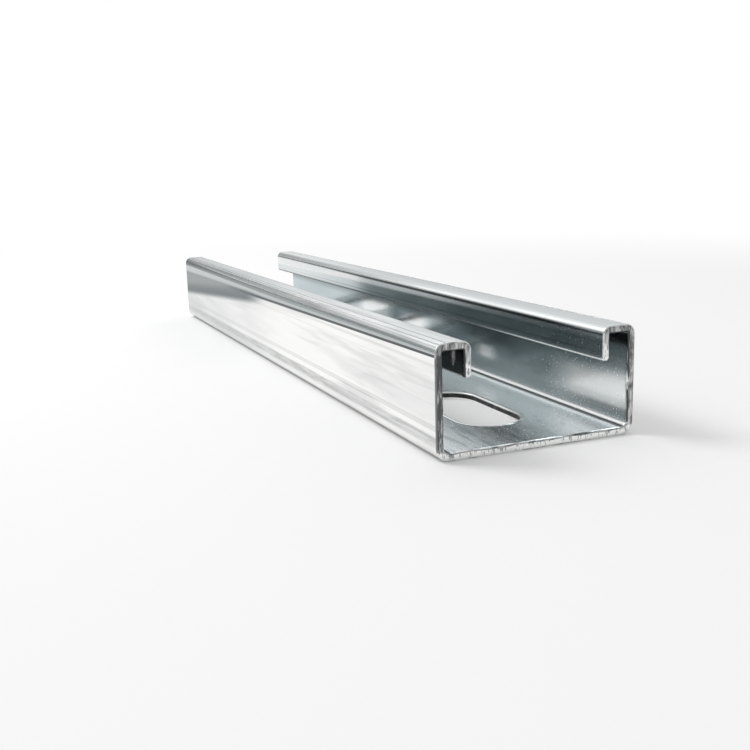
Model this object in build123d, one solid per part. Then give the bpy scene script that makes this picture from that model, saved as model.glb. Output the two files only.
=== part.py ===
from build123d import *
import os

# Slotted strut channel, roll-formed in one piece from galvanised steel strip: a flat back with a row
# of punched slots, two walls, and a shelf at the top of each wall that turns down into a lip.
# It lies on its back with the open side up. X runs along the length, Y across the back and Z up,
# and the origin is at the middle of the back's outer face. All sizes are in millimetres.

# Section
width = 41.0             # outside, wall to wall
height = 21.0            # outside, from the back to the shelves
sheet = 1.5              # strip thickness
back_bend = 1.1          # inner radius of the bend from the back to the wall
shelf_bend = 0.4         # of the bend from the wall to the shelf
lip_bend = 0.15          # of the bend from the shelf to the lip
shelf_width = 7.0        # from the wall's outer face to the lip's face
lip_depth = 6.5          # from the shelf's top to the lip's edge
lip_edge_radius = 0.4    # rolled edge of the strip, along each lip

# Length and slots
length = 200.0
slot_from_end = 27.5     # from the +X end to the middle of the first slot
slot_pitch = 50.0
slot_length = 30.0
slot_width = 13.0
slot_clear_end = 3.0     # least metal left between the last slot and the other end
slot_edge_radius = 0.3   # edge drawn in by the punch, on both faces
end_chamfer = 0.15       # deburred edge of each cut end

# Worked out from the sizes above
first_slot = length / 2 - slot_from_end
slot_run = length - slot_from_end - slot_length / 2 - slot_clear_end
slot_count = int(slot_run / slot_pitch) + 1
half_width = width / 2
lip_face = half_width - shelf_width
near = sheet / 10        # closer than this counts as the same place


def half_outline():
    """Corners of the right half of the strip, from the middle of the back's outer face to its inner face."""
    return [
        (0, 0),
        (half_width, 0),
        (half_width, height),
        (lip_face, height),
        (lip_face, height - lip_depth),
        (lip_face + sheet, height - lip_depth),
        (lip_face + sheet, height - sheet),
        (half_width - sheet, height - sheet),
        (half_width - sheet, sheet),
        (0, sheet),
    ]


def corners_at(face, points):
    """The section's corners at the given points of its right half, and at their mirror images."""
    places = [Vector(side * y, z) for y, z in points for side in (1, -1)]
    return [v for v in face.vertices() if any((Vector(v.X, v.Y) - place).length < near for place in places)]


def strip_section():
    """The strip's cross-section, drawn in Y and Z, with every bend at its inner and outer radius."""
    right = half_outline()
    left = [(-y, z) for y, z in reversed(right)]
    face = make_face(Polyline(*right[1:-1], *left[1:-1], close=True))
    bends = [
        (right[1], right[8], back_bend),
        (right[2], right[7], shelf_bend),
        (right[3], right[6], lip_bend),
    ]
    for outside, inside, radius in bends:
        face = fillet(corners_at(face, [outside]), radius + sheet)
        face = fillet(corners_at(face, [inside]), radius)
    return fillet(corners_at(face, right[4:6]), lip_edge_radius)


def slot_row():
    """The punched slots, as solids that pass through the back."""
    places = Locations(*[(first_slot - i * slot_pitch, 0) for i in range(slot_count)])
    outline = Sketch() + [place * SlotOverall(slot_length, slot_width) for place in places]
    return extrude(outline, sheet, both=True)


def on_slot_rim(edge):
    """True for an edge of a slot on one of the back's two faces."""
    middle = edge.position_at(0.5)
    on_face = min(abs(middle.Z), abs(middle.Z - sheet)) < near
    return on_face and abs(middle.Y) < slot_width / 2 + near and abs(middle.X) < length / 2 - near


def channel():
    body = extrude(Plane.YZ * strip_section(), length / 2, both=True)
    body -= slot_row()
    body = fillet([e for e in body.edges() if on_slot_rim(e)], slot_edge_radius)
    cut_ends = [f for f in body.faces().filter_by(Axis.X) if abs(f.center().X) > length / 2 - near]
    return chamfer([e for face in cut_ends for e in face.edges()], end_chamfer)


os.makedirs("parts", exist_ok=True)
export_step(channel(), "parts/channel.step")
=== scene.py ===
from math import pi, radians

import bmesh
import bpy
from mathutils import Matrix, Vector, noise


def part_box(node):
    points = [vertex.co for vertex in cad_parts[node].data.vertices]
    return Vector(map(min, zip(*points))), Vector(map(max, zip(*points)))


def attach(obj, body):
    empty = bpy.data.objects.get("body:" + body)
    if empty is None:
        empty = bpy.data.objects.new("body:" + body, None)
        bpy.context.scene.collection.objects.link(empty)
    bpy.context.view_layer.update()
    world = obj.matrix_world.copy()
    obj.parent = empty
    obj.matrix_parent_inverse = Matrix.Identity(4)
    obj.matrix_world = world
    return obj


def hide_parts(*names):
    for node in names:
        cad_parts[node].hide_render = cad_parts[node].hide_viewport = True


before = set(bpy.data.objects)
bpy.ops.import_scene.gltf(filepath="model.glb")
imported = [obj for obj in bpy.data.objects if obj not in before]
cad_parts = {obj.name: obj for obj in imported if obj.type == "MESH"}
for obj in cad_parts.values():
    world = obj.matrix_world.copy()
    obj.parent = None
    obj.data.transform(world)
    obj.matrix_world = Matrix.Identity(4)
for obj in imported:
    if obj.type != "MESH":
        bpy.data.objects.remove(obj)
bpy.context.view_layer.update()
print("frame loaded:", ", ".join(sorted(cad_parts)))


# The channel, in metres: it lies on its back along X, with its near end at +X.
# Its outer skin is drawn from the back round the bends, then given its thickness

strip = {
    "thick": 0.0015,
    "backBend": 0.0026,              # outer radius of each bend
    "shelfBend": 0.0019,
    "lipBend": 0.00165,
    "shelf": 0.007,                  # from the wall's outer face to the lip's face
    "lip": 0.0065,                   # from the shelf's top to the lip's edge
    "lipEdge": 0.0004,               # rolled edge along each lip
    "slotEdge": 0.0003,
    "cutEdge": 0.00025,
    "column": 0.002,                 # spacing of the mesh along the length
    "endColumns": (0.0004, 0.0006),  # extra ones, this far from each end
    "rows": 72,                      # across the flat of the back
    "bendSteps": 8,
    "wallSteps": 32,
    "shelfSteps": 4,
    "lipSteps": 6,
    "sharp": 1.0,                    # radians: edges between faces at more than this get a bevel
    "wave": 0.00003,                 # how far the skin wanders in
    "waveSize": (0.022, 0.010),      # along and across
    "burr": 0.00016,                 # how far the inner edge of a cut end wanders
    "burrSize": 0.0016,
}

slots = {
    "count": 4,
    "fromEnd": 0.0275,        # from the near end to the middle of the first slot
    "pitch": 0.050,
    "long": 0.030,
    "wide": 0.013,
    "room": (0.018, 0.0085),  # half the patch of the back that is redrawn round a slot
    "rimSteps": (0.6, 1.0),   # shares of the way from the patch's edge to the slot's outline
}

nick = {  # in the right wall's cut edge, with a small tab below it
    "low": 0.0095,
    "high": 0.0128,
    "depth": 0.00045,
    "tab": 0.0001,
    "tabLong": 0.0006,
}

drip = {"place": (0.0994, -0.0168, 0.0184), "size": (0.0009, 0.0010, 0.0030)}  # zinc under the left shelf

finish = {"cut": 1, "punched": 2, "edge": 3}  # slots of the mesh's materials, after the zinc's

near = 0.0001  # closer than this counts as the same place

# The section's faces, worked out from the frame and the sizes above
boxLow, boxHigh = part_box("channel")
length, width, height = boxHigh - boxLow
lengthHalf = length / 2
wallOut = width / 2
wallIn = wallOut - strip["thick"]
backIn = strip["thick"]
shelfIn = height - strip["thick"]
lipOut = wallOut - strip["shelf"]  # the lip's face at the mouth
lipIn = lipOut + strip["thick"]    # and its face towards the wall
lipLow = height - strip["lip"]
slotHalf = slots["wide"] / 2
slotReach = slots["long"] / 2 - slotHalf  # from a slot's middle to the centre of its round end
firstSlot = lengthHalf - slots["fromEnd"]


def vertsIn(made):
    return [item for item in made if isinstance(item, bmesh.types.BMVert)]


def edgesIn(made):
    return [item for item in made if isinstance(item, bmesh.types.BMEdge)]


def pullEdges(mesh, edges, shift, steps):  # extrudes the row of edges by the shift, in equal steps
    for _ in range(steps):
        made = bmesh.ops.extrude_edge_only(mesh, edges=edges)["geom"]
        bmesh.ops.translate(mesh, verts=vertsIn(made), vec=Vector(shift) / steps)
        edges = edgesIn(made)
    return edges


def bendEdges(mesh, edges, centre, turn):  # a quarter bend about a line along the length
    made = bmesh.ops.spin(mesh, geom=edges, cent=centre, axis=(turn, 0, 0), angle=pi / 2,
                          steps=strip["bendSteps"], use_merge=False, use_duplicate=False)
    return edgesIn(made["geom_last"])


def onSlot(place, middle):  # the point of the slot's outline nearest to the place
    along = place.x - middle
    centre = Vector((max(-slotReach, min(slotReach, along)), 0, 0))
    spoke = Vector((along, place.y, 0)) - centre
    return Vector((middle, 0, 0)) + centre + spoke.normalized() * slotHalf


def cutSlot(mesh, middle):  # opens a patch of the back and draws its rim in to the slot's outline
    roomX, roomY = slots["room"]
    patch = []
    for face in mesh.faces:
        centre = face.calc_center_median()
        if abs(centre.x - middle) < roomX and abs(centre.y) < roomY:
            patch.append(face)
    inside = {edge for face in patch for edge in face.edges}
    rim = [edge for edge in inside if sum(face in patch for face in edge.link_faces) == 1]
    bmesh.ops.delete(mesh, geom=patch, context="FACES")
    for share in slots["rimSteps"]:
        made = bmesh.ops.extrude_edge_only(mesh, edges=rim)["geom"]
        for vert in vertsIn(made):
            vert.co = vert.co.lerp(onSlot(vert.co, middle), share)
        rim = edgesIn(made)


def bendSide(mesh, side):  # one side of the skin: bend, wall, bend, shelf, bend and lip
    backBend, shelfBend, lipBend = strip["backBend"], strip["shelfBend"], strip["lipBend"]
    flat = wallOut - backBend
    edges = [edge for edge in mesh.edges if edge.is_boundary
             and min(side * vert.co.y for vert in edge.verts) > flat - near / 10]
    edges = bendEdges(mesh, edges, (0, side * flat, backBend), side)
    edges = pullEdges(mesh, edges, (0, 0, height - backBend - shelfBend), strip["wallSteps"])
    edges = bendEdges(mesh, edges, (0, side * (wallOut - shelfBend), height - shelfBend), side)
    inwards = shelfBend + lipBend - strip["shelf"]
    edges = pullEdges(mesh, edges, (0, side * inwards, 0), strip["shelfSteps"])
    edges = bendEdges(mesh, edges, (0, side * (lipOut + lipBend), height - lipBend), side)
    pullEdges(mesh, edges, (0, 0, lipBend - strip["lip"]), strip["lipSteps"])


def skinMesh():
    mesh = bmesh.new()
    columns = round(length / strip["column"])
    bmesh.ops.create_grid(mesh, x_segments=columns, y_segments=strip["rows"], size=0.5)
    bmesh.ops.scale(mesh, verts=mesh.verts, vec=(length, 2 * (wallOut - strip["backBend"]), 1))
    for index in range(slots["count"]):
        cutSlot(mesh, firstSlot - index * slots["pitch"])
    for side in (1, -1):
        bendSide(mesh, side)
    bmesh.ops.remove_doubles(mesh, verts=mesh.verts, dist=near / 100)
    bmesh.ops.recalc_face_normals(mesh, faces=mesh.faces)
    lowest = min(mesh.faces, key=lambda face: face.calc_center_median().z)
    if lowest.normal.z > 0:
        bmesh.ops.reverse_faces(mesh, faces=mesh.faces)
    return mesh


def wander(mesh):  # rolled strip isn't quite flat: its skin goes in a little here and there
    along, across = strip["waveSize"]
    for vert in mesh.verts:
        place = Vector((vert.co.x / along, vert.co.y / across, vert.co.z / across))
        depth = strip["wave"] * (0.5 + 0.5 * noise.noise(place))
        vert.co -= vert.normal * depth


def nickDepth(place):  # how far the cut edge is set back here, less than 0 at the tab
    low, high = nick["low"], nick["high"]
    if place.x < 0 or place.y < 0 or not low - nick["tabLong"] < place.z < high:
        return 0
    if place.z < low:
        return -nick["tab"]
    return nick["depth"] * (high - place.z) / (high - low)


def onInnerEdge(place):  # on a cut end, at the inner face of the back, the walls, the shelves or the lips
    across, up = abs(place.y), place.z
    if across > wallIn + 2 * near or not backIn - 3 * near < up < shelfIn + 2 * near:
        return False
    return up < lipLow - strip["thick"] or across > lipIn - 4 * near


def roughenEnds(mesh, end):  # the shear left the inner edge of each end uneven, and it has a nick
    for vert in mesh.verts:
        if abs(vert.co.x) > end and onInnerEdge(vert.co):
            away = Vector((0, vert.normal.y, vert.normal.z)).normalized()
            ragged = noise.noise(vert.co / strip["burrSize"]) + 0.5
            vert.co -= away * (strip["burr"] * ragged + nickDepth(vert.co))


def bevelEdges(mesh, edges, width, steps):  # the new faces get the edge finish, painted pale as highlights
    bmesh.ops.bevel(mesh, geom=edges, offset=width, offset_type="OFFSET", affect="EDGES", segments=steps,
                    profile=0.5, material=finish["edge"], clamp_overlap=True)


def sharpEdges(mesh, test):  # the sharp edges whose two ends pass the test
    return [edge for edge in mesh.edges if len(edge.link_faces) == 2
            and edge.calc_face_angle() > strip["sharp"] and all(test(vert.co) for vert in edge.verts)]


def channelMesh():
    mesh = skinMesh()
    wander(mesh)
    bmesh.ops.solidify(mesh, geom=mesh.faces[:], thickness=strip["thick"])
    bmesh.ops.recalc_face_normals(mesh, faces=mesh.faces)
    end = lengthHalf - near
    for face in mesh.faces:
        centre = face.calc_center_median()
        upright = abs(face.normal.z) < 0.3
        if abs(centre.x) > end:
            face.material_index = finish["cut"]
        elif upright and abs(centre.y) < slots["wide"] and centre.z < 2 * backIn:
            face.material_index = finish["punched"]
    rims = sharpEdges(mesh, lambda place: abs(place.y) < slots["wide"] and abs(place.x) < end)
    bevelEdges(mesh, rims, strip["slotEdge"], 3)
    bevelEdges(mesh, sharpEdges(mesh, lambda place: abs(place.z - lipLow) < near), strip["lipEdge"], 3)
    for side in (1, -1):
        for depth in strip["endColumns"]:
            bmesh.ops.bisect_plane(mesh, geom=mesh.verts[:] + mesh.edges[:] + mesh.faces[:],
                                   plane_co=(side * (lengthHalf - depth), 0, 0), plane_no=(1, 0, 0))
    roughenEnds(mesh, end)
    bevelEdges(mesh, sharpEdges(mesh, lambda place: abs(place.x) > end), strip["cutEdge"], 2)
    return mesh


def addDrip(mesh):
    place = Matrix.LocRotScale(drip["place"], None, drip["size"])
    made = bmesh.ops.create_icosphere(mesh, subdivisions=2, radius=0.5, matrix=place)
    for vert in made["verts"]:
        for face in vert.link_faces:
            face.material_index = finish["cut"]


# Shader maths: a value on a wire, whose sums add Math nodes

class Wire:
    def __init__(self, tree, socket=None):
        self.tree = tree
        self.socket = socket

    def node(self, kind, settings=None, inputs=None, output=0):
        made = self.tree.nodes.new("ShaderNode" + kind)
        for name, value in (settings or {}).items():
            setattr(made, name, value)
        for name, value in (inputs or {}).items():
            self.feed(made.inputs[name], value)
        return Wire(self.tree, made.outputs[output])

    def feed(self, socket, value):
        if isinstance(value, Wire):
            self.tree.links.new(value.socket, socket)
        else:
            socket.default_value = value

    def beside(self, name):  # another output of the same node
        return Wire(self.tree, self.socket.node.outputs[name])

    def maths(self, operation, *values, clamp=False):
        return self.node("Math", {"operation": operation, "use_clamp": clamp}, dict(enumerate(values)))

    def __add__(self, other):
        return self.maths("ADD", self, other)

    def __sub__(self, other):
        return self.maths("SUBTRACT", self, other)

    def __mul__(self, other):
        return self.maths("MULTIPLY", self, other)

    def __truediv__(self, other):
        return self.maths("DIVIDE", self, other)

    def __rsub__(self, other):
        return self.maths("SUBTRACT", other, self)

    def __rtruediv__(self, other):
        return self.maths("DIVIDE", other, self)

    __radd__ = __add__
    __rmul__ = __mul__

    def clamped(self):
        return self.maths("ADD", self, 0.0, clamp=True)

    def absolute(self):
        return self.maths("ABSOLUTE", self)

    def root(self):
        return self.maths("POWER", self, 0.5)

    def fraction(self):
        return self.maths("FRACT", self)

    def held(self, low, high):
        return self.node("Clamp", inputs={"Value": self, "Min": low, "Max": high})

    def axes(self, names="XYZ"):  # the parts of a vector
        made = self.node("SeparateXYZ", inputs={0: self})
        return [made.beside(name) for name in names]

    def over(self, low, high):  # 0 at low, 1 at high, eased between
        return self.node("MapRange", {"interpolation_type": "SMOOTHSTEP"},
                         {"Value": self, "From Min": low, "From Max": high})

    def between(self, low, high, soft):  # 1 from low to high, falling to 0 outside
        return self.over(low - soft, low) * self.over(high + soft, high)

    def blend(self, first, second):  # this value mixes two colours
        return self.node("Mix", {"data_type": "RGBA"}, {0: self, 6: first, 7: second}, output=2)


def newMaterial(name):
    material = bpy.data.materials.new(name)
    material.use_nodes = True
    tree = material.node_tree
    shader = tree.nodes["Principled BSDF"]
    return material, Wire(tree), shader


def objectPlace(start):
    return start.node("TexCoord", output="Object")


def noiseAt(start, size, detail=2.0, roughness=0.5, turn=(0, 0, 0)):  # its grain has this size, in metres
    scale = [1 / part for part in size]
    place = start.node("Mapping", inputs={0: objectPlace(start), 2: turn, 3: scale})
    return start.node("TexNoise", inputs={0: place, "Scale": 1.0, "Detail": detail, "Roughness": roughness})


def bumped(start, shader, relief, strength, lean=None):  # relief is fine grain, and lean is in metres
    grained = start.node("Bump", inputs={"Strength": strength, "Distance": 0.0001, "Height": relief})
    if lean:
        tilted = start.node("Bump", inputs={"Strength": 1.0, "Distance": 1.0, "Height": lean})
        start.feed(grained.socket.node.inputs["Normal"], tilted)
    start.feed(shader.inputs["Normal"], grained)


# Galvanised strip, in metres. Two numbers are where a mark begins and where it is full, or the two
# edges of a band. Along is the place on X, and a slope rises towards the near end

zinc = {
    "cloudSize": (0.060, 0.0080, 0.0080),      # along, across and up
    "lineSize": (0.250, 0.00065, 0.00065),     # of the faint lines left by the rolls
    "grainSize": (0.004, 0.00018, 0.00018),
    "speckSize": (0.00045, 0.00030, 0.00030),
    "specksAlong": (0.065, 0.080),
    "ridge": 0.00015,                          # height that the punch raised round each slot
    "ridgeBand": (0.00020, 0.00045),           # from the slot's outline
    "bow": 3.3,                                # how fast the walls curve in towards the shelf
    "bowLow": 0.006,                           # and from which height
}

crease = {  # painted reflection of a dark horizon: dark where the wall turns in to the shelf, with a grey shoulder above it
    # also the colour of painted shade on the inner wall and of the painted shadow at the outer foot
    "colour": (0.09, 0.10, 0.105, 1),
    "slope": 0.0146,
    "lineBand": (0.01712, 0.01754),            # thin, towards the near end
    "lineAlong": (-0.050, -0.015),
    "wideBand": (0.01875, 0.01940),            # strongest at the far end
    "wideRise": (0.11, 0.085),                 # of its two edges, with the square of X
    "shoulder": (0.44, 0.48, 0.48, 1),
    "shoulderLow": (0.0175, 0.0178),
    "shoulderHigh": (0.0201, 0.0196),
}

wedgeReflection = {  # painted reflection: a grey wedge at the far end of the left wall
    "colour": (0.25, 0.28, 0.29, 1),
    "slope": 0.072,
    "low": (0.0150, 0.0171),
    "high": (0.0184, 0.0176),
    "along": (0.002, -0.022),
    "rougher": (0.0205, 0.0165),               # most along its foot
}


def slotGap(x, y):  # distance from the outline of the nearest slot
    turns = (x - firstSlot) / slots["pitch"] + 0.5
    along = (turns.fraction() - 0.5).absolute() * slots["pitch"]
    past = (along - slotReach).held(0.0, 1.0)
    return (past * past + y * y).root() - slotHalf


class Surface:  # what the marks read: the place, masks that are 1 on a part of the strip, and noises
    def __init__(self, start):
        x, y, z = objectPlace(start).axes()
        across = y.absolute()
        self.x, self.y, self.z, self.across = x, y, z, across
        self.sloped = z - x * crease["slope"]
        self.risen = z - x * wedgeReflection["slope"]
        self.gap = slotGap(x, y)
        self.onLeft = y.over(0.001, -0.001)
        self.onRight = 1 - self.onLeft
        self.onWall = across.over(wallOut - 0.0020, wallOut - 0.0010)
        inside = across.over(wallIn + 0.0005, wallIn + 0.0001) * z.over(backIn - 0.0005, backIn - 0.0001)
        self.inside = inside * z.over(shelfIn + 0.0004, shelfIn)
        self.outside = 1 - self.inside
        self.onBack = self.inside * z.over(backIn + 0.0005, backIn + 0.0001)
        onLip = across.between(lipOut - 0.0003, lipIn + 0.0003, 0.0002)
        self.onLip = onLip * z.between(lipLow - 0.0002, shelfIn, 0.0004)
        self.offLip = 1 - self.onLip
        self.cloud = noiseAt(start, zinc["cloudSize"]).over(0.32, 0.62)
        self.rolled = noiseAt(start, zinc["lineSize"])
        self.grain = noiseAt(start, zinc["grainSize"])
        specks = noiseAt(start, zinc["speckSize"], detail=0.0).over(0.74, 0.80)
        self.speck = specks * x.over(*zinc["specksAlong"])


# where the crease's dark reflection is painted
def creaseReflectionMask(at):
    nearer = at.x.held(0.0, 1.0)
    low = crease["wideBand"][0] + nearer * nearer * crease["wideRise"][0]
    high = crease["wideBand"][1] + at.x * at.x * crease["wideRise"][1]
    wide = at.z.between(low, high, 0.0003) * (0.52 - at.x * 3.0)
    line = at.sloped.between(*crease["lineBand"], 0.00028 - at.x * 0.002) * at.x.over(*crease["lineAlong"])
    return (line + wide) * at.onWall


# where the grey wedge of reflection is painted
def wedgeReflectionMask(at):
    mask = at.risen.over(*wedgeReflection["low"]) * at.sloped.over(*wedgeReflection["high"])
    return mask * at.x.over(*wedgeReflection["along"]) * at.onLeft


# The outer faces: underside, walls, and the tops of the shelves

outerSkin = {
    "light": (0.97, 0.97, 0.955, 1),
    "dark": (0.58, 0.60, 0.60, 1),
    # painted reflection: lighter towards the near end, where the outside mirrors more light
    "lighterAlong": (-0.09, 0.02),
    "line": (0.46, 0.47, 0.47, 1),
    "rippleSize": (0.0300, 0.0024, 0.0024),
    "ripplesAlong": (-0.010, 0.040),
    "lowStreaks": (0.44, 0.45, 0.45, 1),           # darker streaky band, low on the wall
    "lowStreaksSize": (0.0110, 0.0008, 0.0008),
    "lowStreaksBand": (0.0030, 0.0043),
    "footShadow": (0.0012, 0.0004),              # painted shadow at the foot of the bend from back to wall
    "shelf": (0.60, 0.615, 0.62, 1),           # top of the right shelf, painted darker than the left one as shade
    "shelfLighterAlong": (0.010, -0.080),
}


def outerColour(start, at, creaseReflected, wedgeReflected):
    onBend = at.z.between(height - 0.0020, height - 0.0004, 0.0003)
    lines = at.rolled.over(0.54, 0.66) * (0.35 + onBend * 0.35)
    ripple = noiseAt(start, outerSkin["rippleSize"]).over(0.46, 0.68) * at.x.over(*outerSkin["ripplesAlong"])
    lightness = at.cloud * 0.45 + at.x.over(*outerSkin["lighterAlong"]) * 0.55
    colour = lightness.blend(outerSkin["dark"], outerSkin["light"])
    colour = (lines + ripple * 0.38).clamped().blend(colour, outerSkin["line"])
    lowStreaks = noiseAt(start, outerSkin["lowStreaksSize"], 3.0, 0.6).over(0.40, 0.60) * 0.35 + 0.50
    lowStreaks = lowStreaks * at.z.between(*outerSkin["lowStreaksBand"], 0.0006)
    colour = lowStreaks.blend(colour, outerSkin["lowStreaks"])
    # painted reflections: the grey shoulder, the dark crease and the grey wedge
    shoulder = at.sloped.over(*crease["shoulderLow"]) * at.z.over(*crease["shoulderHigh"])
    colour = (shoulder * at.onWall).blend(colour, crease["shoulder"])
    colour = creaseReflected.clamped().blend(colour, crease["colour"])
    colour = (wedgeReflected * 0.95).blend(colour, wedgeReflection["colour"])
    # painted shadow along the foot of the bend from back to wall
    flat = wallOut - strip["backBend"]
    foot = at.z.over(*outerSkin["footShadow"]) * at.across.over(flat - 0.0003, flat + 0.0001)
    colour = (foot * 0.7).blend(colour, crease["colour"])
    # the right shelf's top is painted darker as shade
    shelf = at.x.over(*outerSkin["shelfLighterAlong"]).blend(outerSkin["shelf"], outerSkin["light"])
    onShelf = at.z.over(height - 0.0011, height - 0.0007) * at.y.over(lipOut + 0.0003, lipOut + 0.0006)
    return onShelf.blend(colour, shelf)


# The walls' inner faces: painted dark as shade, with painted highlights where they mirror the slots

innerWall = {
    "light": (0.93, 0.96, 0.955, 1),
    "dark": (0.44, 0.52, 0.54, 1),
    "wallShade": (0.23, 0.27, 0.28, 1),             # painted shade: the left wall, and the top of the right one
    "wallShadeHigh": (0.0105, 0.0130),
    "wallShadeAlong": (0.075, 0.045),
    # painted highlight along the foot of the walls
    "footHighlight": (0.0029, 0.0024),
    "spots": (  # painted reflections of the slots along the right wall: where, how high, half the length, and how it fades
        (0.0910, 0.0075, 0.0060, 0.0150),
        (0.0465, 0.0073, 0.0006, 0.0062),
        (0.0060, 0.0088, 0.0030, 0.0100),
        (-0.0205, 0.0092, 0.0055, 0.0110),
    ),
    "shadeBand": (0.042, 0.052),               # dark patch above the second spot
    "shadeHigh": (0.0088, 0.0110),
    "footBand": (0.0034, 0.0042),              # and a band of painted shade under the spots
    "footBandAlong": (0.010, 0.040),
    "footBandEnd": (0.075, 0.092),
}


def slotReflectionMask(at):  # each spot is flatter than it is long
    spots = 0.0
    for place, high, half, fade in innerWall["spots"]:
        level = at.z.between(high - fade * 0.1, high + fade * 0.1, fade * 0.27)
        spots = at.x.between(place - half, place + half, fade) * level + spots
    return spots * at.onRight * at.inside


def wallColour(at, spots):
    # painted highlights: the slots mirrored on the right wall, and a line along the foot
    paintedHighlights = spots + at.z.over(*innerWall["footHighlight"]) * 0.6
    colour = (paintedHighlights + at.cloud * 0.15).clamped().blend(innerWall["dark"], innerWall["light"])
    # painted shade on the left wall and the top of the right one
    wallShade = at.z.over(*innerWall["wallShadeHigh"]) * (0.4 + at.x.over(*innerWall["wallShadeAlong"]) * 0.5)
    colour = (at.onLeft + wallShade).clamped().blend(colour, innerWall["wallShade"])
    shade = at.x.between(*innerWall["shadeBand"], 0.014) * at.z.over(*innerWall["shadeHigh"]) * 0.65
    along = at.x.over(*innerWall["footBandAlong"]) * 0.2 + at.x.over(*innerWall["footBandEnd"]) * 0.35
    shade = shade + at.z.between(*innerWall["footBand"], 0.0010) * along
    return (shade * at.onRight).blend(colour, crease["colour"])


# The lips: the right one painted darker than the left as shade

lips = {
    "light": (0.88, 0.90, 0.90, 1),            # the left lip
    "dark": (0.50, 0.56, 0.57, 1),             # the right lip, painted darker as shade
    # colour of the lines left by the rolls, and of painted shade on the right lip
    "line": (0.12, 0.14, 0.145, 1),
    "shadeBand": (-0.010, 0.060),              # painted shade: the right lip is darkest here, along it
    "wornNear": (0.086, 0.098),
    "wornFar": (-0.020, -0.080),
    "streakTop": (0.0194, 0.0190),             # painted highlight: pale streak at the top of the right lip
    "streakFoot": (0.0174, 0.0184),
    "streakSlope": (0.008, 0.006),
    "streakAlong": (0.075, 0.020),
    "fold": (0.05, 0.06, 0.062, 1),            # painted reflection: dark line at the bend of both
    "foldBand": (0.01935, 0.01970),
    "foldAlong": (-0.060, 0.010),
    "foldFades": (0.080, 0.098),
}


def streakHighlightMask(at):
    foot = [base + at.x * slope for base, slope in zip(lips["streakFoot"], lips["streakSlope"])]
    streakHighlight = at.z.over(*lips["streakTop"]) * at.z.over(*foot)
    return streakHighlight * at.onRight * (0.25 + at.x.over(*lips["streakAlong"]) * 0.75)


def lipColour(at, streakHighlight):
    # the right lip is painted darker than the left as shade
    colour = at.onLeft.blend(lips["dark"], lips["light"])
    colour = (at.rolled.over(0.48, 0.62) * at.onRight * 0.6).blend(colour, lips["line"])
    colour = (at.x.between(*lips["shadeBand"], 0.020) * at.onRight * 0.35).blend(colour, lips["line"])
    worn = at.x.over(*lips["wornNear"]) * 0.4 + at.x.over(*lips["wornFar"]) * 0.5
    return (streakHighlight + worn).clamped().blend(colour, lips["light"])


# where the dark line of reflection is painted
def foldMask(at):
    fold = at.across.over(lipOut + 0.0007, lipOut + 0.0004) * at.z.between(*lips["foldBand"], 0.0002)
    return fold * (0.55 + at.x.over(*lips["foldAlong"]) * 0.45 - at.x.over(*lips["foldFades"]) * 0.45)


# The back's inner face, with a few smudges, and streaks by the near end

backFace = {
    "light": (0.91, 0.94, 0.95, 1),
    "dark": (0.79, 0.84, 0.86, 1),
    "lighterAlong": (-0.02, 0.06),
    "smudge": (0.42, 0.48, 0.50, 1),
    "smudgeSize": (0.0035, 0.0014, 0.0014),
    "stainSize": (0.0140, 0.0016, 0.0016),
    "stainsAlong": (0.080, 0.088),
    "stainsAcross": (0.008, 0.0),
}


def backColour(start, at):
    lightness = at.cloud * 0.5 + at.x.over(*backFace["lighterAlong"]) * 0.5
    colour = lightness.blend(backFace["dark"], backFace["light"])
    smudge = noiseAt(start, backFace["smudgeSize"], detail=1.0).over(0.60, 0.72)
    stain = noiseAt(start, backFace["stainSize"]).over(0.48, 0.60)
    stain = stain * at.x.over(*backFace["stainsAlong"]) * at.y.over(*backFace["stainsAcross"])
    return (smudge * 0.5 + stain * 0.6).clamped().blend(colour, backFace["smudge"])


# The inner bends are painted pale as a highlight, with a dark line along the foot

corners = {
    "pale": (0.95, 0.96, 0.96, 1),
    "paleAcross": (0.01845, 0.01858),
    "paleLow": (0.00157, 0.00172),
    "paleHigh": (0.0028, 0.0021),
    "darkFootLine": (0.05, 0.06, 0.06, 1),
    "darkFootBand": (0.0013, 0.00166),
    "darkFootBandAcross": (0.01775, 0.01842),
    "pocket": (0.07, 0.075, 0.075, 1),         # painted shade behind the lips
    "wallToBack": (0.0026, 0.0017),            # heights between the two finishes
    "speck": (0.96, 0.97, 0.96, 1),
    "rim": (0.0008, 0.0004),                   # painted highlight round each slot, from its outline
}


def bendHighlightMask(at):
    mask = at.across.over(*corners["paleAcross"]) * at.z.over(*corners["paleLow"])
    return mask * at.z.over(*corners["paleHigh"])


def pocketShadeMask(at):  # the lip's face towards the wall, and what lies behind it under the shelf
    onLip = at.across.over(lipIn + 0.00025, lipIn - 0.00005) * at.z.over(lipLow - 0.0002, lipLow + 0.0001)
    behind = onLip + at.z.over(lipLow - 0.0010, lipLow + 0.0040)
    return at.across.over(lipIn - 0.0002, lipIn) * behind.clamped()


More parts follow.
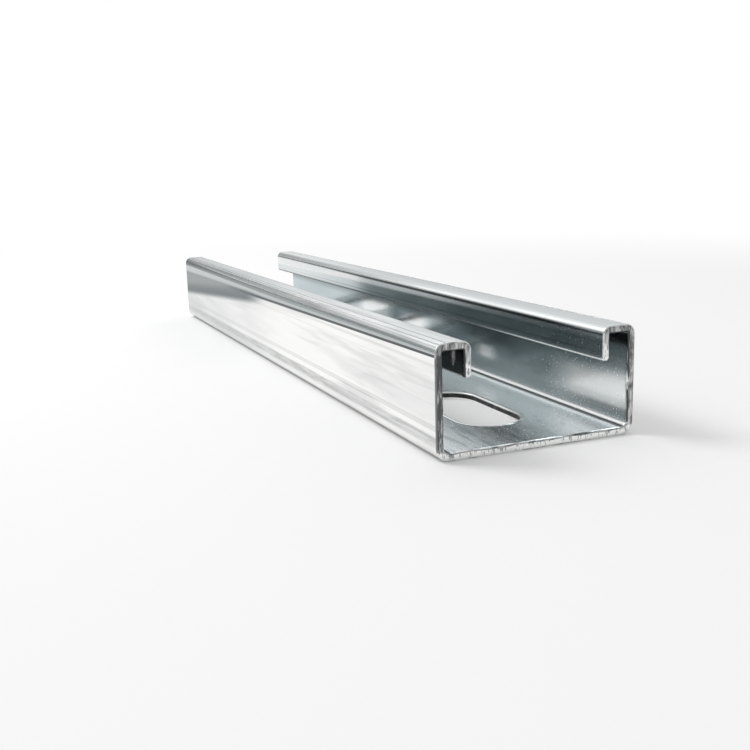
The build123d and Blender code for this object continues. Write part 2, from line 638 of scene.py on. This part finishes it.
def innerColour(start, at, wall, bend):
    colour = at.z.over(*corners["wallToBack"]).blend(wall, backColour(start, at))
    speck = at.speck * at.z.over(lipLow - 0.0005, lipLow - 0.0015)
    colour = (speck * 0.6).blend(colour, corners["speck"])
    # painted highlight along the inner bends
    colour = bend.blend(colour, corners["pale"])
    # dark line along the foot of each inner bend
    darkFootLine = at.across.between(*corners["darkFootBandAcross"], 0.00012)
    darkFootLine = darkFootLine * at.z.between(*corners["darkFootBand"], 0.00006)
    colour = (darkFootLine * 0.9).blend(colour, corners["darkFootLine"])
    # painted shade behind the lips
    colour = (pocketShadeMask(at) * 0.9).blend(colour, corners["pocket"])
    # painted highlight round each slot
    return (at.gap.over(*corners["rim"]) * at.onBack).blend(colour, corners["pale"])


# How clearly the zinc mirrors

sheen = {
    "roughness": 0.19,
    "clearerAlong": (0.070, 0.0),              # the inside, towards the far end
    "spotsDullerAlong": (0.030, 0.040),
    "spotsClearerAlong": (0.030, 0.010),
    "backDullerAlong": (-0.02, 0.05),
    "backDullerAcross": (-0.005, 0.010),
}


def zincMetallic(at, spots, streakHighlight, bend):  # less where highlights and reflections are painted pale
    dulled = bend * at.inside * 0.6 + streakHighlight * at.onLip * 0.5
    dulled = dulled + spots * (0.20 + at.x.over(*sheen["spotsDullerAlong"]) * 0.35)
    share = 0.14 + at.y.over(*sheen["backDullerAcross"]) * 0.10
    return 1 - (dulled + at.onBack * at.x.over(*sheen["backDullerAlong"]) * share)


def zincRoughness(at, creaseReflected, wedgeReflected, spots):
    rough = sheen["roughness"] - at.inside * at.x.over(*sheen["clearerAlong"]) * 0.06
    rough = rough + (at.grain - 0.5) * at.offLip * 0.06 + at.speck * at.inside * 0.2
    rough = rough - spots * (0.02 + at.x.over(*sheen["spotsClearerAlong"]) * 0.01)
    rough = rough + wedgeReflected * at.outside * (0.14 + at.risen.over(*wedgeReflection["rougher"]) * 0.32)
    return rough + creaseReflected * at.outside * 0.20


def zincRelief(start, shader, at):
    relief = (at.grain * at.offLip * 0.2 + at.rolled * 0.8) * (1 - at.inside * (1 - at.onLip * 0.5) * 0.8)
    rise = (at.z - zinc["bowLow"]).held(0.0, 1.0)
    onInnerWall = at.across.between(wallIn - 0.0005, wallIn + 0.0004, 0.0003)
    bow = rise * rise * zinc["bow"] * onInnerWall
    ridge = at.gap.between(*zinc["ridgeBand"], 0.00040) * at.onBack * zinc["ridge"]
    bumped(start, shader, relief, 0.15, lean=bow + ridge)


def galvanisedMaterial():
    material, start, shader = newMaterial("galvanisedStrip")
    at = Surface(start)
    creaseReflected = creaseReflectionMask(at)
    wedgeReflected = wedgeReflectionMask(at)
    spots = slotReflectionMask(at)
    streakHighlight = streakHighlightMask(at)
    bend = bendHighlightMask(at)
    wall = at.onLip.blend(wallColour(at, spots), lipColour(at, streakHighlight))
    inner = innerColour(start, at, wall, bend)
    colour = at.inside.blend(outerColour(start, at, creaseReflected, wedgeReflected), inner)
    start.feed(shader.inputs["Base Color"], foldMask(at).blend(colour, lips["fold"]))
    start.feed(shader.inputs["Metallic"], zincMetallic(at, spots, streakHighlight, bend))
    start.feed(shader.inputs["Roughness"], zincRoughness(at, creaseReflected, wedgeReflected, spots))
    zincRelief(start, shader, at)
    return material


# Bare steel of the two sheared ends: pale along the back, darker and blotched up the walls

cut = {
    "wallDark": (0.10, 0.103, 0.102, 1),
    "wallLight": (0.62, 0.63, 0.625, 1),
    "backDark": (0.30, 0.32, 0.32, 1),
    "backLight": (0.93, 0.94, 0.92, 1),
    "strokeSize": (0.0010, 0.00028, 0.0010),
    "strokeTurn": (0.15, 0, 0),
    "blotchSize": (0.0010, 0.00090, 0.0030),
    "tornSize": (0.0012, 0.00065, 0.0034),
    "backPale": (0.0021, 0.0014),
    "backPalest": (0.0011, 0.0004),
    "lipPale": (0.0183, 0.0168),             # the lower part of a lip's end is pale too
    "worn": (-0.0150, -0.0180),              # and the end of the left shelf darker
    "roughness": 0.42,
}


def cutMaterial():
    material, start, shader = newMaterial("cutSteel")
    y, z = objectPlace(start).axes("YZ")
    stroke = noiseAt(start, cut["strokeSize"], turn=cut["strokeTurn"])
    blotch = noiseAt(start, cut["blotchSize"], 3.0, 0.55)
    marks = (stroke * 0.5 + blotch * 0.5).over(0.38, 0.62)
    torn = noiseAt(start, cut["tornSize"]).over(0.46, 0.62)
    lipEnd = z.over(*cut["lipPale"]) * z.over(lipLow - 0.0010, lipLow - 0.0003)
    lipEnd = lipEnd * y.absolute().over(lipIn + 0.0004, lipIn + 0.0001)
    pale = (z.over(*cut["backPale"]) + lipEnd).clamped()
    worn = y.over(*cut["worn"]) * z.over(shelfIn, shelfIn - 0.0010)
    wall = (marks * 0.55 + torn * 0.6 - worn * 0.5).clamped().blend(cut["wallDark"], cut["wallLight"])
    palest = z.over(*cut["backPalest"]) * 0.5
    back = (marks.over(0.0, 0.50) + palest).clamped().blend(cut["backDark"], cut["backLight"])
    start.feed(shader.inputs["Base Color"], pale.blend(wall, back))
    shader.inputs["Metallic"].default_value = 1.0
    start.feed(shader.inputs["Roughness"], cut["roughness"] - marks * 0.12)
    bumped(start, shader, marks, 0.5)
    return material


# The walls of the slots, torn by the punch, and painted near black as shade

punched = {
    "dark": (0.020, 0.022, 0.023, 1),
    "light": (0.07, 0.074, 0.075, 1),
    "size": (0.0003, 0.0003, 0.0030),
    "roughness": 0.55,
}


def punchedMaterial():
    material, start, shader = newMaterial("punchedWall")
    marks = noiseAt(start, punched["size"], 3.0).over(0.40, 0.65)
    start.feed(shader.inputs["Base Color"], marks.blend(punched["dark"], punched["light"]))
    shader.inputs["Metallic"].default_value = 0.0
    shader.inputs["Specular IOR Level"].default_value = 0.15
    start.feed(shader.inputs["Roughness"], punched["roughness"] - marks * 0.10)
    bumped(start, shader, marks, 0.3)
    return material


# The edges that the punch, the shear and the rolls left, painted pale as highlights, and dark as shade where
# they lie in it

edgeHighlight = {
    "light": (0.94, 0.95, 0.94, 1),
    "dark": (0.30, 0.31, 0.31, 1),
    "patchSize": (0.0030, 0.0030, 0.0030),  # along the cut ends
    "lineSize": (0.0300, 0.0040, 0.0040),   # along the slots and the lips
    "onLips": (0.0120, 0.0130),
    "lipsDuller": (0.085, 0.045),           # towards the far end
    # painted shade on the lips' edges, towards the far end
    "lipsDarker": (0.070, 0.040),
    "wallBand": (0.0022, 0.0182),           # dark outer edge of a wall's cut end
    "metallic": 0.4,
    "roughness": 0.34,
}


def edgeMaterial():
    material, start, shader = newMaterial("paintedEdgeHighlight")
    x, y, z = objectPlace(start).axes()
    across = y.absolute()
    atEnd = x.absolute().over(lengthHalf - 0.0010, lengthHalf - 0.0006)
    onLips = z.over(*edgeHighlight["onLips"]) * (1 - atEnd)
    patchy = noiseAt(start, edgeHighlight["patchSize"]).over(0.30, 0.55)
    smooth = noiseAt(start, edgeHighlight["lineSize"]).over(0.25, 0.45)
    edgeLight = patchy * atEnd + smooth * (1 - atEnd)
    edgeLight = edgeLight * (1 - onLips * x.over(*edgeHighlight["lipsDuller"]) * 0.95)
    wallRim = atEnd * across.over(wallOut - 0.0006, wallOut - 0.0003)
    wallRim = wallRim * z.between(*edgeHighlight["wallBand"], 0.0006)
    edgeLight = edgeLight * (1 - wallRim * 0.85)
    wallEnd = across.between(lipIn - 0.0003, wallIn + 0.0003, 0.0002)
    wallEnd = wallEnd * z.between(backIn + 0.0010, shelfIn + 0.0002, 0.0002)
    wallEnd = wallEnd * z.over(backIn + 0.0005, backIn + 0.0010)
    backEnd = across.over(wallIn + 0.0005, wallIn) * z.between(backIn - 0.0004, backIn + 0.0003, 0.0002)
    shadedEdge = atEnd * (wallEnd + backEnd * (0.7 - patchy * 0.5))  # painted shade: these edges lie in shade, so they take the torn steel's dark colour
    shadedEdge = shadedEdge + wallRim * 0.35 + onLips * x.over(*edgeHighlight["lipsDarker"]) * 0.8
    edgeLight = edgeLight * (1 - shadedEdge)
    # pale painted highlights on the edges, dark where they lie in shade
    colour = edgeLight.blend(edgeHighlight["dark"], edgeHighlight["light"])
    start.feed(shader.inputs["Base Color"], shadedEdge.blend(colour, punched["light"]))
    shader.inputs["Metallic"].default_value = edgeHighlight["metallic"]
    start.feed(shader.inputs["Roughness"], edgeHighlight["roughness"] + (1 - edgeLight) * 0.10)
    return material


def makeChannel():
    mesh = channelMesh()
    addDrip(mesh)
    loose = [edge for edge in mesh.edges if len(edge.link_faces) != 2]
    print("channel:", len(mesh.verts), "points,", len(mesh.faces), "faces,", len(loose), "open edges")
    data = bpy.data.meshes.new("channelSteel")
    mesh.to_mesh(data)
    mesh.free()
    data.shade_smooth()
    piece = bpy.data.objects.new("channelSteel", data)
    bpy.context.scene.collection.objects.link(piece)
    for material in (galvanisedMaterial(), cutMaterial(), punchedMaterial(), edgeMaterial()):
        data.materials.append(material)
    normals = piece.modifiers.new("evenShading", "WEIGHTED_NORMAL")
    normals.weight = 70
    return piece


# Camera, set to the photo's view

camera = {
    "place": (0.24397, -0.09076, 0.05020),
    "aim": (0.0269, -0.0014, 0.0),
    "lens": 46.48,
    "roll": -1.70,  # in degrees
}


def turnTo(place, aim):  # looking from the place towards the aim
    return (Vector(aim) - Vector(place)).to_track_quat("-Z", "Y").to_matrix()


def addCamera():
    data = bpy.data.cameras.new("camera")
    data.lens = camera["lens"]
    data.sensor_width = 36
    data.clip_start = 0.005
    made = bpy.data.objects.new("camera", data)
    roll = Matrix.Rotation(radians(camera["roll"]), 3, "Z")
    turn = turnTo(camera["place"], camera["aim"]) @ roll
    made.matrix_world = Matrix.Translation(camera["place"]) @ turn.to_4x4()
    bpy.context.scene.collection.objects.link(made)
    bpy.context.scene.camera = made


# Studio: one lamp, a pale floor, and surroundings that the metal mirrors

keyLight = {
    "place": (-0.30, -0.40, 0.55),
    "aim": (0, 0, 0),
    "size": 0.3,
    "power": 2.0,
}

studio = {
    "horizon": 0.10,
    "behindLeft": (  # bands from the horizon up: where each begins, where it is full, its brightness
        (0.040, 0.060, 1.00),
        (0.105, 0.125, 0.42),
        (0.235, 0.295, 1.10),
    ),
    "behind": (
        (0.040, 0.060, 1.00),
        (0.120, 0.160, 0.30),
        (0.330, 0.420, 1.20),
    ),
    "behindRight": (
        (0.030, 0.080, 0.80),
        (0.190, 0.220, 0.95),
    ),
    "left": (-0.12, -0.30),  # how far to the side the bands on the left and on the right take over
    "right": (0.02, 0.30),
    "overhead": (0.65, 0.85),
    "above": 1.10,
    "towardsNear": (-0.5, 0.3),
    "front": 0.40,           # past the near end
    "sky": (0.965, 0.99, 1.0, 1),
}

ground = {
    "size": 4.0,
    "tone": 0.93,
    "lift": 0.10,                      # what it adds of its own where the camera or the metal sees it
    "white": (0.15, 0.50),             # distance over which it turns plain white
    "margin": 0.006,                   # round the channel, mirrored as plain white
    "shade": (0.09, 0.115, 0.125, 1),  # under the second slot and part of the third, as the metal sees it
    "nearSide": (0.042, 0.050),        # and where that turns white, along the length and beside the slots
    "farSide": (-0.023, -0.032),
    "beside": (0.0090, 0.0120),
    "gleamBand": (0.0165, 0.0250),     # lighter patch of it under the second slot: a painted reflection, glowing only for the metal
    "underSlots": (0.0080, 0.0070),
}


def addLamp(name, lamp):
    data = bpy.data.lights.new(name, "AREA")
    data.size = lamp["size"]
    data.energy = lamp["power"]
    made = bpy.data.objects.new(name, data)
    turn = turnTo(lamp["place"], lamp["aim"])
    made.matrix_world = Matrix.Translation(lamp["place"]) @ turn.to_4x4()
    bpy.context.scene.collection.objects.link(made)


def bandsOf(rise, bands):  # brightness of the surroundings from the horizon up
    before = studio["horizon"]
    level = before
    for low, high, value in bands:
        level = rise.over(low, high) * (value - before) + level
        before = value
    return level


def addWorld():
    world = bpy.data.worlds.new("studio")
    world.use_nodes = True
    tree = world.node_tree
    start = Wire(tree)
    along, across, rise = start.node("TexCoord", output="Generated").axes()
    onLeft = across.over(*studio["left"])
    onRight = across.over(*studio["right"])
    level = bandsOf(rise, studio["behindLeft"]) * onLeft
    level = level + bandsOf(rise, studio["behind"]) * (1 - onLeft - onRight)
    level = level + bandsOf(rise, studio["behindRight"]) * onRight
    overhead = rise.over(*studio["overhead"])
    level = level * (1 - overhead) + studio["above"] * overhead
    front = along.over(*studio["towardsNear"])
    level = level * (1 - front) + studio["front"] * front
    seen = start.node("LightPath", output="Is Camera Ray")
    background = tree.nodes["Background"]
    start.feed(background.inputs["Strength"], level + (1 - level) * seen)
    sky = seen.beside("Is Glossy Ray").blend((1, 1, 1, 1), studio["sky"])
    start.feed(background.inputs["Color"], sky)
    bpy.context.scene.world = world


def groundMaterial():
    material, start, shader = newMaterial("paleFloor")
    tone = ground["tone"]
    shader.inputs["Base Color"].default_value = (tone, tone, tone, 1)
    shader.inputs["Roughness"].default_value = 1.0
    shader.inputs["Specular IOR Level"].default_value = 0.0
    direct = start.node("LightPath", output="Is Camera Ray")
    glossy = direct.beside("Is Glossy Ray")
    seen = (direct + glossy + direct.beside("Is Transmission Ray")).clamped()
    shader.inputs["Emission Color"].default_value = (1, 1, 1, 1)
    start.feed(shader.inputs["Emission Strength"], seen * ground["lift"])
    white = start.node("Emission", inputs={"Color": (1, 1, 1, 1), "Strength": 1.0})
    x, y = objectPlace(start).axes("XY")
    far = (x * x + y * y).root().over(*ground["white"])
    plain = Wire(start.tree, shader.outputs[0])
    mixed = start.node("MixShader", inputs={0: far * seen, 1: plain, 2: white})

    gleam = x.between(*ground["gleamBand"], 0.0030) * y.over(0.0010, 0.0040) * 0.5
    bright = x.over(*ground["nearSide"]) + x.over(*ground["farSide"]) + gleam
    bright = (bright + y.absolute().over(*ground["beside"])).clamped()
    through = bright.blend(ground["shade"], (1, 1, 1, 1))
    through = start.node("Emission", inputs={"Color": through, "Strength": 1.0})
    margin = ground["margin"]
    away = x.absolute().over(lengthHalf, lengthHalf + margin) + y.absolute().over(wallOut, wallOut + margin)
    under = x.absolute().over(lengthHalf, lengthHalf - 0.0010) * y.absolute().over(*ground["underSlots"])
    mirrored = (away + under).clamped() * glossy
    mixed = start.node("MixShader", inputs={0: mirrored, 1: mixed, 2: through})
    start.feed(start.tree.nodes["Material Output"].inputs["Surface"], mixed)
    return material


def addFloor():
    mesh = bmesh.new()
    bmesh.ops.create_grid(mesh, x_segments=1, y_segments=1, size=ground["size"])
    data = bpy.data.meshes.new("floor")
    mesh.to_mesh(data)
    mesh.free()
    data.materials.append(groundMaterial())
    floor = bpy.data.objects.new("floor", data)
    bpy.context.scene.collection.objects.link(floor)


channel = makeChannel()
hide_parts("channel")
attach(channel, "root")
print("channel made")

bpy.context.scene.view_settings.view_transform = "Standard"
addCamera()
addWorld()
addFloor()
addLamp("keyLight", keyLight)
print("studio made")
